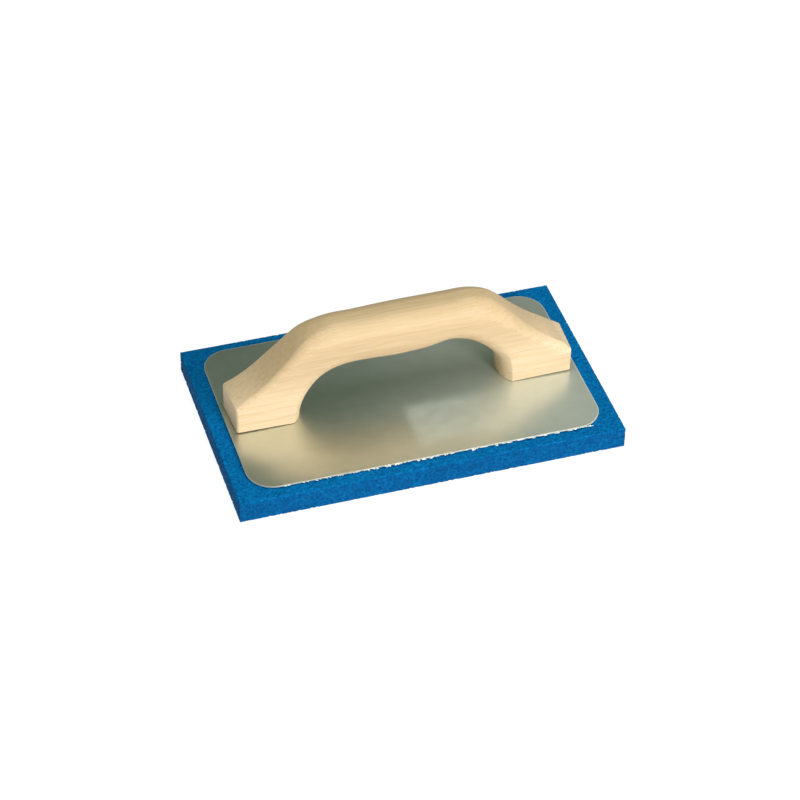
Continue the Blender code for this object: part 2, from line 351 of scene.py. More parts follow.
@dataclass(frozen=True)
class SandedBirch:
    """Bare birch, moulded and sanded: pale cream, faint rings and fibres along the handle.

    Rings are a few millimetres apart. Fibres, about 0.1 mm wide, are drawn at 0.5 mm so that they
    show. The colour is darker towards the top of the handle.
    """

    ring_mm: float = 4.6
    fibre_mm: float = 0.5
    fibre_stretch: float = 34.0
    figure_mm: float = 22.0
    figure_stretch: float = 6.25
    wander_mm: float = 16.0
    pith_mm: tuple[float, float, float] = (0.0, -52.0, 12.0)
    pith_turn: tuple[float, float, float] = (0.0, radians(3.5), radians(-4))
    early: str = "#EBD0AD"
    late: str = "#E8CDA6"
    streak: str = "#D6B68B"
    top_darkening: tuple[float, float, float, float] = (0.81, 0.78, 0.71, 1.0)
    top_darkening_from_mm: float = 34.0
    top_darkening_to_mm: float = 62.0

    def material(self) -> bpy.types.Material:
        """Rings about a pith behind the handle, bent by slow noise, under fine long fibres.

        Returns:
            The material.
        """
        made, shader = new_material("sanded_birch", IOR=1.5, Specular_IOR_Level=0.35)
        tree = made.node_tree
        where = add_node(tree, "ShaderNodeTexCoord").outputs["Object"]
        along = add_node(
            tree, "ShaderNodeMapping", {"Vector": where, "Scale": (1 / self.figure_stretch, 1.0, 1.0)}
        )
        wander = add_node(
            tree, "ShaderNodeTexNoise", {"Vector": along, "Scale": per(self.figure_mm), "Detail": 2.0}
        )
        pith = add_node(
            tree,
            "ShaderNodeMapping",
            {
                "Vector": where,
                "Location": tuple(length * MM for length in self.pith_mm),
                "Rotation": self.pith_turn,
            },
        )
        drift = {0: wander.outputs["Color"], "Scale": self.wander_mm * MM}
        bent = add_node(tree, "ShaderNodeVectorMath", drift, operation="SCALE")
        placed = add_node(tree, "ShaderNodeVectorMath", {0: pith, 1: bent}, operation="ADD")
        # The texture repeats every 2π/20 of a unit, so π/10 makes one ring a cell of its scale.
        rings = add_node(
            tree,
            "ShaderNodeTexWave",
            {"Vector": placed, "Scale": per(self.ring_mm) * pi / 10, "Distortion": 0.8, "Detail": 1.5},
            wave_type="RINGS",
            rings_direction="X",
            wave_profile="SAW",
        )
        fibre_space = add_node(
            tree, "ShaderNodeMapping", {"Vector": where, "Scale": (1 / self.fibre_stretch, 1.0, 1.0)}
        )
        fibres = add_node(
            tree,
            "ShaderNodeTexNoise",
            {"Vector": fibre_space, "Scale": per(self.fibre_mm), "Detail": 4.0, "Roughness": 0.6},
        )
        streaks = add_node(
            tree,
            "ShaderNodeTexNoise",
            {"Vector": fibre_space, "Scale": per(self.fibre_mm * 5), "Detail": 2.0},
        )
        base = add_node(
            tree,
            "ShaderNodeValToRGB",
            {"Fac": rings},
            stops=((0.0, self.early), (1.0, self.early), (0.45, self.early), (0.88, self.late)),
        )
        streaked = add_node(
            tree,
            "ShaderNodeValToRGB",
            {"Fac": streaks},
            stops=((0.50, "#000000"), (0.72, "#B4B4B4")),
        )
        with_streaks = add_node(
            tree,
            "ShaderNodeMix",
            {"Factor": streaked, "A": base, "B": linear(self.streak)},
            data_type="RGBA",
        )
        fine = add_node(
            tree,
            "ShaderNodeValToRGB",
            {"Fac": fibres},
            stops=((0.30, "#E4E0DA"), (0.70, "#FFFFFF")),
        )
        colour = add_node(
            tree,
            "ShaderNodeMix",
            {"Factor": 0.8, "A": with_streaks, "B": fine},
            data_type="RGBA",
            blend_type="MULTIPLY",
        )
        place = add_node(tree, "ShaderNodeSeparateXYZ", {"Vector": where})
        # Darker towards the top of the handle, between two heights.
        share = add_node(
            tree,
            "ShaderNodeMapRange",
            {
                "Value": place.outputs["Z"],
                "From Min": self.top_darkening_from_mm * MM,
                "From Max": self.top_darkening_to_mm * MM,
            },
            interpolation_type="SMOOTHSTEP",
        )
        colour = add_node(
            tree,
            "ShaderNodeMix",
            {"Factor": share, "A": colour, "B": self.top_darkening},
            data_type="RGBA",
            blend_type="MULTIPLY",
        )
        rough = add_node(tree, "ShaderNodeMapRange", {"Value": fibres, "To Min": 0.5, "To Max": 0.68})
        bump = add_node(
            tree, "ShaderNodeBump", {"Height": fibres, "Strength": 0.35, "Distance": 0.12 * MM}
        )
        wire(shader, Base_Color=colour, Roughness=rough, Normal=bump)
        return made


@dataclass(frozen=True)
class GalvanisedSheet:
    """Hot-dip galvanised sheet, rolled smooth: satin zinc with soft, stretched reflections.

    A thin pale oxide dulls the zinc: more to the right, and in one patch whose left side was
    wiped. The sheared edge is pale. Rolling marks, about 0.1 mm apart, are drawn at 0.9 mm so
    that they show.
    """

    half_mm: tuple[float, float]
    corner_mm: float = 17.5
    spangle_mm: float = 9.0
    roll_mm: float = 0.9
    roll_stretch: float = 60.0
    wave_mm: float = 70.0
    bright: str = "#D9DED6"
    dull: str = "#D1D7CD"
    oxide: float = 0.02
    oxide_middle: float = 0.22
    oxide_corner: float = 0.20
    oxide_patch: float = 0.54
    rim: float = 0.32
    rim_mm: tuple[float, float] = (0.8, 0.35)
    middle_x_mm: tuple[float, float] = (-70, 60)
    corner_x_mm: tuple[float, float] = (30, 100)
    corner_y_mm: tuple[float, float] = (20, -25)
    patch_left_mm: tuple[float, float] = (-9, 1)
    patch_right_mm: tuple[float, float] = (85, 20)
    patch_back_mm: tuple[float, float] = (-12, -26)
    patch_front_mm: tuple[float, float] = (-66, -46)

    def oxide_share(
        self, tree: bpy.types.NodeTree, where: bpy.types.NodeSocket, cloud: bpy.types.Node
    ) -> bpy.types.Node:
        """Share of the surface under oxide: a sum of soft steps along X and Y, clouded by noise.

        Args:
            tree: The material's node tree.
            where: Object coordinates.
            cloud: Noise about 0.5 that breaks the patch up.

        Returns:
            The node whose first output is the share.
        """
        place = add_node(tree, "ShaderNodeSeparateXYZ", {"Vector": where})
        across, along = place.outputs["X"], place.outputs["Y"]

        def step(source: Any, ends_mm: tuple[float, float], height: float = 1.0) -> bpy.types.Node:
            """Smooth step from 0 at the first end to the height at the second."""
            start, end = (length * MM for length in ends_mm)
            return add_node(
                tree,
                "ShaderNodeMapRange",
                {"Value": source, "From Min": start, "From Max": end, "To Max": height},
                interpolation_type="SMOOTHSTEP",
            )

        def joined(operation: str, first: Any, *others: Any) -> bpy.types.Node:
            """Sum or product of values."""
            for other in others:
                first = add_node(tree, "ShaderNodeMath", {0: first, 1: other}, operation=operation)
            return first

        soft = add_node(tree, "ShaderNodeMapRange", {"Value": cloud, "To Min": 0.3, "To Max": 0.7})
        patch = joined(
            "MULTIPLY",
            step(across, self.patch_left_mm, self.oxide_patch),
            step(across, self.patch_right_mm),
            step(along, self.patch_back_mm),
            step(along, self.patch_front_mm),
            soft,
        )
        corner = joined(
            "MULTIPLY",
            step(across, self.corner_x_mm, self.oxide_corner),
            step(along, self.corner_y_mm),
        )
        middle = step(across, self.middle_x_mm, self.oxide_middle)

        # Way out from the core of the rounded rectangle: the length of max(|place| - core, 0).
        core = tuple((half - self.corner_mm) * MM for half in self.half_mm)
        out = add_node(tree, "ShaderNodeVectorMath", {0: where}, operation="ABSOLUTE")
        out = add_node(tree, "ShaderNodeVectorMath", {0: out, 1: (*core, 1.0)}, operation="SUBTRACT")
        out = add_node(tree, "ShaderNodeVectorMath", {0: out, 1: (0.0,) * 3}, operation="MAXIMUM")
        out = add_node(tree, "ShaderNodeVectorMath", {0: out}, operation="LENGTH")
        ends = (self.corner_mm - self.rim_mm[0], self.corner_mm - self.rim_mm[1])
        edge = step(out.outputs["Value"], ends, self.rim)
        return joined("ADD", middle, corner, patch, edge)

    def material(self) -> bpy.types.Material:
        """Crystal patches shift the tone and the roughness; long fine marks follow the rolling.

        Returns:
            The material.
        """
        made, shader = new_material("galvanised_sheet")
        tree = made.node_tree
        where = add_node(tree, "ShaderNodeTexCoord").outputs["Object"]
        spangle = add_node(
            tree, "ShaderNodeTexNoise", {"Vector": where, "Scale": per(self.spangle_mm), "Detail": 4.0}
        )
        roll_space = add_node(
            tree, "ShaderNodeMapping", {"Vector": where, "Scale": (1 / self.roll_stretch, 1.0, 1.0)}
        )
        marks = add_node(
            tree, "ShaderNodeTexNoise", {"Vector": roll_space, "Scale": per(self.roll_mm), "Detail": 3.0}
        )
        wave = add_node(
            tree, "ShaderNodeTexNoise", {"Vector": where, "Scale": per(self.wave_mm), "Detail": 1.0}
        )
        mixed = add_node(
            tree, "ShaderNodeMix", {"Factor": 0.35, "A": spangle, "B": marks}, data_type="FLOAT"
        )
        colour = add_node(
            tree, "ShaderNodeValToRGB", {"Fac": mixed}, stops=((0.3, self.dull), (0.7, self.bright))
        )
        rough = add_node(tree, "ShaderNodeMapRange", {"Value": mixed, "To Min": 0.26, "To Max": 0.36})
        bare = {0: 1 - self.oxide, 1: self.oxide_share(tree, where, spangle)}
        metal = add_node(tree, "ShaderNodeMath", bare, operation="SUBTRACT")
        fine = add_node(
            tree, "ShaderNodeBump", {"Height": marks, "Strength": 0.12, "Distance": 0.05 * MM}
        )
        bump = add_node(
            tree,
            "ShaderNodeBump",
            {"Height": wave, "Strength": 0.5, "Distance": 1.2 * MM, "Normal": fine},
        )
        wire(shader, Base_Color=colour, Roughness=rough, Metallic=metal, Normal=bump)
        return made


@dataclass(frozen=True)
class DriedCement:
    """Contact cement that skinned over in air: off-white, rubbery, with a soft broken gloss."""

    name: str = "dried_contact_cement"
    pale: str = "#F1F0E8"
    dusty: str = "#CFCDBD"
    clot_mm: float = 1.3

    def material(self) -> bpy.types.Material:
        """Two off-whites in soft clots, with a wrinkled surface.

        Returns:
            The material.
        """
        made, shader = new_material(self.name, IOR=1.5)
        tree = made.node_tree
        where = add_node(tree, "ShaderNodeTexCoord").outputs["Object"]
        clots = add_node(
            tree, "ShaderNodeTexNoise", {"Vector": where, "Scale": per(self.clot_mm), "Detail": 4.0}
        )
        colour = add_node(
            tree, "ShaderNodeValToRGB", {"Fac": clots}, stops=((0.3, self.dusty), (0.6, self.pale))
        )
        rough = add_node(tree, "ShaderNodeMapRange", {"Value": clots, "To Min": 0.3, "To Max": 0.6})
        bump = add_node(
            tree, "ShaderNodeBump", {"Height": clots, "Strength": 0.5, "Distance": 0.1 * MM}
        )
        wire(shader, Base_Color=colour, Roughness=rough, Normal=bump)
        return made


@dataclass(frozen=True)
class ZincPlatedSteel:
    """Cold-headed steel, zinc-plated and passivated: bright grey with a faint yellow haze.

    The plating's grain, about 0.02 mm, is drawn at 0.15 mm so that it shows.
    """

    haze_mm: float = 1.6
    grain_mm: float = 0.15
    bright: str = "#D2D3CE"
    hazy: str = "#C2BFA6"

    def material(self) -> bpy.types.Material:
        """A cloudy passivated tone with very fine plating grain.

        Returns:
            The material.
        """
        made, shader = new_material("zinc_plated_steel", Metallic=1.0)
        tree = made.node_tree
        where = add_node(tree, "ShaderNodeTexCoord").outputs["Object"]
        haze = add_node(
            tree, "ShaderNodeTexNoise", {"Vector": where, "Scale": per(self.haze_mm), "Detail": 3.0}
        )
        grain = add_node(
            tree, "ShaderNodeTexNoise", {"Vector": where, "Scale": per(self.grain_mm), "Detail": 2.0}
        )
        colour = add_node(
            tree, "ShaderNodeValToRGB", {"Fac": haze}, stops=((0.35, self.bright), (0.7, self.hazy))
        )
        rough = add_node(tree, "ShaderNodeMapRange", {"Value": haze, "To Min": 0.22, "To Max": 0.38})
        bump = add_node(
            tree, "ShaderNodeBump", {"Height": grain, "Strength": 0.2, "Distance": 0.02 * MM}
        )
        wire(shader, Base_Color=colour, Roughness=rough, Normal=bump)
        return made


# --------------------------------------------------------------- sub-assemblies


@dataclass
class RubberPad:
    """The sponge-rubber pad: a rounded block whose surface is cut through bubbles."""

    low: Vector
    high: Vector
    step_mm: float = 0.55
    edge_round_mm: float = 0.6
    bubble_spacing_mm: float = 1.7
    bubble_least_mm: float = 0.35
    bubble_spread_mm: float = 0.75
    deepest_mm: float = 0.34
    flat_half_mm: tuple[float, float] = (108.5, 60.5)
    flat_fade_mm: float = 5.0
    seed: int = 11

    def lines(self, axis: int) -> np.ndarray:
        """Grid lines across the block along one axis, both ends included.

        Args:
            axis: 0, 1 or 2.

        Returns:
            Places in metres.
        """
        length = self.high[axis] - self.low[axis]
        count = max(int(round(length / (self.step_mm * MM))), 1)
        return np.linspace(self.low[axis], self.high[axis], count + 1)

    def block(self) -> tuple[np.ndarray, list]:
        """Points and outward faces of the plain block.

        The underside and the top are grids over the same lines, and the sides are a strip whose
        columns run round the outline. The middle of the top, glued down, is one flat face.

        Returns:
            Points in metres, and faces as lists of point numbers.
        """
        xs, ys, zs = (self.lines(axis) for axis in range(3))
        across, along = np.meshgrid(xs, ys, indexing="ij")
        count = across.size
        face = np.arange(count).reshape(across.shape)
        under = np.column_stack([across.ravel(), along.ravel(), np.full(count, zs[0])])
        top = under + np.array([0, 0, zs[-1] - zs[0]])
        grid = quads(len(xs), len(ys))

        column = np.abs(xs) < self.flat_half_mm[0] * MM
        row = np.abs(ys) < self.flat_half_mm[1] * MM
        inside = (column[:, None] & row[None, :]).ravel()
        first, last = np.flatnonzero(column)[[0, -1]]
        near, far = np.flatnonzero(row)[[0, -1]]
        loop = [face[first:last, near], face[last, near:far]]
        loop += [face[last:first:-1, far], face[first, far:near:-1]]
        margin = grid[~inside[grid].all(axis=1)][:, ::-1]

        rim = np.concatenate([face[:-1, 0], face[-1, :-1], face[:0:-1, -1], face[0, :0:-1]])
        wall = np.column_stack(
            [np.tile(under[rim, :2], (len(zs) - 2, 1)), np.repeat(zs[1:-1], len(rim))]
        )
        rows = np.arange(len(wall)).reshape(-1, len(rim)) + 2 * count
        strip = np.vstack([rim, rows, rim + count]).ravel()
        sides = strip[quads(len(zs), len(rim), wrap=True)]
        glued = (np.concatenate(loop) + count).tolist()
        points = np.vstack([under, top, wall])

        used = np.zeros(len(points), bool)
        used[:count] = True
        used[margin + count] = True
        used[2 * count :] = True
        number = np.cumsum(used) - 1
        faces = number[np.vstack([grid, margin + count, sides])].tolist()
        return points[used], [*faces, number[glued].tolist()]

    def bubble_depth(self, points: np.ndarray, normals: np.ndarray) -> np.ndarray:
        """Depth of the bowls that bubbles leave where the cut meets them.

        Each cell of a cubic lattice holds one bubble with its own centre and radius. From a point
        in a bubble, the line along the inward normal stays in it for a + √(a² - (d² - r²)), where
        d is the way to the centre, a its part along the line and r the radius. The deepest counts.

        Args:
            points: Points of the smooth surface.
            normals: Their outward normals.

        Returns:
            The depth at each point in metres.
        """
        spacing = self.bubble_spacing_mm * MM
        home = np.floor(points / spacing)
        depth = np.zeros(len(points))
        for shift in np.ndindex(3, 3, 3):
            cell = home + np.array(shift) - 1
            draw = scatter(cell, self.seed)
            radius = (self.bubble_least_mm + self.bubble_spread_mm * draw[:, 3] ** 2) * MM
            way = (cell + draw[:, :3]) * spacing - points
            inward = -(way * normals).sum(axis=1)
            spare = inward**2 - ((way**2).sum(axis=1) - radius**2)
            stay = inward + np.sqrt(np.maximum(spare, 0))
            met = (way**2).sum(axis=1) < radius**2
            depth = np.maximum(depth, np.where(met, stay, 0))
        # Deep cells level off towards the greatest depth, as the walls between them tear.
        limit = self.deepest_mm * MM
        return limit * (1 - np.exp(-depth / limit))

    def build(self) -> bpy.types.Object:
        """Round the block's edges, cut its bubbles and keep two values that the finish uses for painted
        shade and painted light.

        Returns:
            The pad, whose points carry the depth of the cut cells, for painted shade, and how far each
            face points up or down, for painted light.
        """
        points, faces = self.block()
        radius = self.edge_round_mm * MM
        core = np.clip(points, np.array(self.low) + radius, np.array(self.high) - radius)
        out = points - core
        normals = out / np.linalg.norm(out, axis=1, keepdims=True)
        points = core + radius * normals

        depth = self.bubble_depth(points, normals)
        inset = np.array(self.flat_half_mm) * MM - np.abs(points[:, :2])
        glued = ease(1 + inset.min(axis=1) / (self.flat_fade_mm * MM)) * (normals[:, 2] > 0.5)
        depth *= 1 - glued
        piece = solid("sponge_pad", points - normals * depth[:, None], faces, False, 180)
        # The second value, how far each face points up or down, drives painted light on those faces.
        values = {"cell_depth": depth / (self.deepest_mm * MM), "painted_top_light": np.abs(normals[:, 2])}
        for name, value in values.items():
            attribute = piece.data.attributes.new(name, "FLOAT", "POINT")
            attribute.data.foreach_set("value", value.astype(np.float32))
        return piece


@dataclass(frozen=True)
class HandSanding:
    """A shallow place where the handle was sanded by hand, as a bell curve along X."""

    place_mm: float
    spread_mm: float
    top_mm: float = 0.0
    under_mm: float = 0.0


@dataclass(frozen=True)
class EndTrim:
    """How one end of the handle was cut and sanded.

    The end face leans out by its reach, and more at the back by its skew. The toe is the foot's
    extra length inwards. The shoulder's top is domed by the crown, and its edges fall away to the
    end by the drop, the front one from further up. The edges' round starts from a share of the
    grip's and grows later with a higher power. The foot's outer end stands off the plate by its
    tilt.
    """

    reach_mm: float
    skew_mm: float
    toe_mm: float
    crown_mm: float
    drop_mm: float
    round_share: float
    edge_power: float
    tilt_mm: float


@dataclass
class BridgeHandle:
    """The wooden handle, lofted from slices that fan round the hand hole from seat to grip."""

    seat: float
    end: float
    width_mm: float = 29.0
    height_mm: float = 68.4
    foot_length_mm: float = 45.2
    end_height_mm: float = 19.5
    foot_slope: float = radians(30)
    shoulder_slope: float = radians(43)
    hollow_radius_mm: float = 209.0
    crest_radius_mm: float = 35.0
    arch_height_mm: float = 38.0
    arch_reach_mm: float = 35.3
    belly_drop_mm: float = 3.4
    fan_start: float = radians(10)
    nose_round_by: float = radians(70)
    grip_round_mm: float = 12.0
    foot_round_mm: float = 1.8
    nose_depth_mm: float = 6.5
    nose_radius_mm: float = 18.5
    edge_mm: float = 0.25
    edge_round_by: float = 0.08
    toe_fade_mm: float = 24.0
    sanding_fade_mm: float = 10.0
    seat_fade_mm: float = 12.0
    dome_fade_mm: float = 18.0
    dome_level: float = 0.9
    back_drop: float = 0.7
    dome_x_mm: tuple[float, float] = (30, 60)
    front_x_mm: tuple[float, float] = (72, 108)
    back_x_mm: tuple[float, float] = (97, 111)
    tilt_x_mm: tuple[float, float] = (66, 111)
    lean_x_mm: tuple[float, float] = (96, 110)
    foot_steps: int = 6
    shoulder_steps: int = 64
    grip_steps: int = 20
    round_steps: int = 14
    side_steps: int = 5
    sanding: tuple[HandSanding, ...] = (
        HandSanding(-77, 18, top_mm=3.4),
        HandSanding(-67, 8, top_mm=2.0),
        HandSanding(-38, 22, top_mm=-1.3),
        HandSanding(-31, 17, under_mm=-2.2),
        HandSanding(3, 9, under_mm=0.7),
        HandSanding(28, 8, under_mm=1.3),
        HandSanding(56, 11, under_mm=-2.9),
        HandSanding(66, 10, top_mm=1.3),
        HandSanding(113, 9, top_mm=0.3),
    )
    trims: dict[Side, EndTrim] = field(
        default_factory=lambda: {
            Side.LEFT: EndTrim(1.6, 0.9, -1.7, 1.8, 1.0, 0.14, 1.9, 0.6),
            Side.RIGHT: EndTrim(0.4, 0.4, 1.2, 2.4, 4.8, 0.2, 1.25, 0.8),
        }
    )

    def shoulder(self) -> np.ndarray:
        """Outline up the shoulder, from the foot's corner to the start of the flat top.

        A hollow arc turns from the foot's slope to the shoulder's, a straight run makes up the
        height that is left, and the crest arc turns level.

        Returns:
            Rows of (x, height) in millimetres.
        """
        low, steep = self.foot_slope, self.shoulder_slope
        hollow, crest = self.hollow_radius_mm, self.crest_radius_mm
        hollow_rise = hollow * (cos(low) - cos(steep))
        crest_rise = crest * (1 - cos(steep))
        straight_rise = self.height_mm - self.end_height_mm - hollow_rise - crest_rise
        lengths = np.array([hollow * (steep - low), straight_rise / sin(steep), crest * steep])
        run = np.linspace(0, lengths.sum(), self.shoulder_steps + 1)
        slope = low + np.clip(run, 0, lengths[0]) / hollow
        inward = hollow * (np.sin(slope) - sin(low))
        rise = hollow * (cos(low) - np.cos(slope))
        straight = np.clip(run - lengths[0], 0, lengths[1])
        inward += straight * cos(steep)
        rise += straight * sin(steep)
        slope = steep - np.clip(run - lengths[0] - lengths[1], 0, lengths[2]) / crest
        inward += crest * (sin(steep) - np.sin(slope))
        rise += crest * (np.cos(slope) - cos(steep))
        return np.column_stack([self.end / MM - inward, self.end_height_mm + rise])

    def half(self, trim: EndTrim) -> np.ndarray:
        """Slices of one half, on the right, from the seat to the middle of the grip.

        The inner ends follow a quarter ellipse round the hand hole and then the grip's belly, a
        cosine; the outer ends climb the end face and the shoulder and cross the flat top.

        Args:
            trim: How this end was cut.

        Returns:
            Rows of (inner x, inner height, outer x, outer height, roundness below, roundness
            above), in millimetres and shares.
        """
        centre = self.end / MM - self.foot_length_mm - self.arch_reach_mm
        shoulder = self.shoulder()
        foot = np.linspace(0, 1, self.foot_steps + 1)[:-1]
        climb = np.linspace(0, 1, self.shoulder_steps + 1)
        grip = np.linspace(1, 0, self.grip_steps + 1)[1:]
        fan = np.concatenate([foot * self.fan_start, self.fan_start + climb * (pi / 2 - self.fan_start)])
        inner = np.column_stack(
            [centre + self.arch_reach_mm * np.cos(fan), self.arch_height_mm * np.sin(fan)]
        )
        up_end = np.column_stack([np.full(len(foot), self.end / MM), foot * self.end_height_mm])
        belly = self.arch_height_mm - self.belly_drop_mm * (1 + np.cos(pi * grip)) / 2
        inner[:, 0] -= trim.toe_mm * (1 - ease(inner[:, 1] / self.toe_fade_mm))
        rounding = ease(climb) ** trim.edge_power * (1 - trim.round_share)
        rounding += trim.round_share * ease(climb / self.edge_round_by)
        curved = np.column_stack(
            [
                inner,
                np.vstack([up_end, shoulder]),
                ease(fan / self.nose_round_by),
                np.concatenate([np.zeros(len(foot)), rounding]),
            ]
        )
        ones = np.ones(len(grip))
        level = np.column_stack(
            [grip * centre, belly, grip * shoulder[-1, 0], ones * self.height_mm, ones, ones]
        )
        return np.vstack([curved, level])

    def slices(self) -> np.ndarray:
        """Slices from the right seat to the left one, each end lifted where it was sanded.

        Returns:
            Rows as half gives them, with x negative on the left.
        """
        right = self.half(self.trims[Side.RIGHT])
        left = self.half(self.trims[Side.LEFT])[-2::-1] * np.array([-1, 1, -1, 1, 1, 1])
        rows = np.vstack([right, left])
        for spot in self.sanding:
            for column, lift in ((0, spot.under_mm), (2, spot.top_mm)):
                bell = np.exp(-(((rows[:, column] - spot.place_mm) / spot.spread_mm) ** 2))
                rows[:, column + 1] += lift * bell * ease(rows[:, column + 1] / self.sanding_fade_mm)
        return rows

    def points(self) -> np.ndarray:
        """Points of the loft: a ring for each slice.

        A ring starts at the middle of the underside. The underside is a circular nose, shallow
        at the feet and a half round in the grip; above it the side runs straight up, and a
        quarter circle turns it into the top. The other half is the mirror image. The ends are
        then trimmed by smooth steps along the handle.

        Returns:
            Rings by points by (x, y, z) in metres.
        """
        rows = self.slices()
        inner, outer = rows[:, 0:2], rows[:, 2:4]
        below, above = rows[:, 4:5], rows[:, 5:6]
        depth = np.linalg.norm(outer - inner, axis=1, keepdims=True)
        along = (outer - inner) / depth
        half_width = self.width_mm / 2
        grip_round = np.minimum(self.grip_round_mm, 0.45 * depth)
        foot_end = asin(half_width / self.nose_radius_mm)
        nose_end = foot_end + below * (pi / 2 - foot_end)
        nose_depth = self.nose_depth_mm + below * (grip_round - self.nose_depth_mm)
        nose_flat = below * (half_width - grip_round)
        corner = self.foot_round_mm + above * (grip_round - self.foot_round_mm)

        turn = np.linspace(0, 1, self.round_steps + 1)
        angle = nose_end * turn
        nose_y = nose_flat + (half_width - nose_flat) * np.sin(angle) / np.sin(nose_end)
        nose_h = nose_depth * (1 - np.cos(angle)) / (1 - np.cos(nose_end))
        share = np.linspace(0, 1, self.side_steps + 1)[1:-1]
        side_h = nose_depth + share * (depth - corner - nose_depth)
        side_y = np.full_like(side_h, half_width)
        quarter = pi / 2 * turn
        top_y = half_width - corner * (1 - np.cos(quarter))
        top_h = depth - corner * (1 - np.sin(quarter))
        width = np.hstack([nose_y, side_y, top_y])
        height = np.hstack([nose_h, side_h, top_h])
        width = np.hstack([width, -width[:, ::-1]])
        height = np.hstack([height, height[:, ::-1]])
        x = inner[:, :1] + along[:, :1] * height
        z = inner[:, 1:] + along[:, 1:] * height
        across = width / half_width
        for side, trim in self.trims.items():
            outward = x * side.value
            dome, near, far, tilt, lean = (
                ease((outward - start) / (end - start))
                for start, end in (
                    self.dome_x_mm,
                    self.front_x_mm,
                    self.back_x_mm,
                    self.tilt_x_mm,
                    self.lean_x_mm,
                )
            )
            seated = 1 - ease(z / self.seat_fade_mm)
            front, back = (np.maximum(toward, 0) ** 4 for toward in (-across, across))
            crown = trim.crown_mm * (self.dome_level - across**2) * dome
            fall = trim.drop_mm * (front * near + self.back_drop * back * far)
            z = z + (crown - fall) * ease(z / self.dome_fade_mm)
            z = z + trim.tilt_mm * tilt * seated
            x = x + side.value * lean * (trim.reach_mm + trim.skew_mm * across)
        return np.stack([x * MM, width * MM, self.seat + z * MM], axis=-1)

    def build(self) -> bpy.types.Object:
        """Loft the handle and soften its crisp edges.

        Returns:
            The handle.
        """
        rings = self.points()
        count = rings.shape[1]
        last = (len(rings) - 1) * count
        faces = quads(len(rings), count, wrap=True).tolist()
        faces += [list(range(count)), list(range(last + count - 1, last - 1, -1))]
        piece = solid("bridge_handle", rings.reshape(-1, 3), faces)
        bevel = piece.modifiers.new("sanded_edges", "BEVEL")
        bevel.width = self.edge_mm * MM
        bevel.segments = 2
        bevel.limit_method = "ANGLE"
        bevel.angle_limit = radians(28)
        return piece


@dataclass(frozen=True)
class BeadRun:
    """One stretch of the plate's front edge and the cement beads along it."""

    start_mm: float
    end_mm: float
    count: int
    length_mm: tuple[float, float]
    thick_mm: tuple[float, float]


@dataclass
class SqueezeOut:
    """Cement that was pressed out along the plate's front edge and dried in beads."""

    edge_y: float
    pad_top: float
    plate_top: float
    runs: tuple[BeadRun, ...] = (
        BeadRun(-96, -43, 32, (0.4, 1.3), (0.22, 0.36)),
        BeadRun(-43, 33, 44, (0.6, 2.0), (0.30, 0.58)),
        BeadRun(33, 109, 24, (1.5, 4.2), (0.26, 0.42)),
    )
    height_share: tuple[float, float] = (0.35, 0.95)
    proud_share: tuple[float, float] = (0.1, 0.8)
    flatness: float = 0.8
    swell_around: float = 0.14
    swell_along: float = 0.12
    around: int = 8
    along: int = 6
    seed: int = 5

    def build(self) -> bpy.types.Object:
        """Strew closed lumps along the edge.

        A lump is a globe, stretched along the edge, whose radius is changed by up to a quarter by
        two sine waves of its own phase.

        Returns:
            The lumps as one object.
        """
        rng = np.random.default_rng(self.seed)
        centres, sizes = [], []
        for run in self.runs:
            centre = np.column_stack(
                [
                    rng.uniform(run.start_mm, run.end_mm, run.count),
                    np.zeros(run.count),
                    rng.uniform(*self.height_share, run.count),
                ]
            )
            thick = rng.uniform(*run.thick_mm, run.count)
            centre[:, 1] = -thick * rng.uniform(*self.proud_share, run.count)
            centres.append(centre)
            half = rng.uniform(*run.length_mm, run.count) / 2
            sizes.append(np.column_stack([half + thick / 2, thick, thick * self.flatness]))
        centre, size = np.vstack(centres) * MM, np.vstack(sizes) * MM
        base = np.array([0, self.edge_y, self.pad_top])
        rise = self.plate_top - self.pad_top
        centre = centre * np.array([1, 1, rise / MM]) + base

        polar = np.linspace(0, pi, self.along + 1)
        turn = np.linspace(0, 2 * pi, self.around, endpoint=False)
        globe = np.stack(
            np.broadcast_arrays(
                np.cos(polar)[:, None],
                np.sin(polar)[:, None] * np.cos(turn),
                np.sin(polar)[:, None] * np.sin(turn),
            ),
            axis=-1,
        )
        phase = rng.uniform(0, 2 * pi, (len(centre), 2, 1, 1))
        swell = 1 + self.swell_around * np.sin(2 * turn + phase[:, 0]) * np.sin(polar)[:, None]
        swell = swell + self.swell_along * np.sin(3 * polar[:, None] + phase[:, 1])
        lumps = globe * swell[..., None] * size[:, None, None, :] + centre[:, None, None, :]
        single = quads(self.along + 1, self.around, wrap=True)
        stride = (self.along + 1) * self.around
        faces = single[None] + stride * np.arange(len(centre))[:, None, None]
        return solid("squeeze_out", lumps.reshape(-1, 3), faces.reshape(-1, 4).tolist(), angle=180)


@dataclass(frozen=True)
class SoftBox:
    """A round soft box that faces the origin. Its size and place are in metres."""

    name: str
    watts: float
    size: float
    place: tuple[float, float, float]
    colour: tuple[float, float, float] = (1.0, 1.0, 1.0)


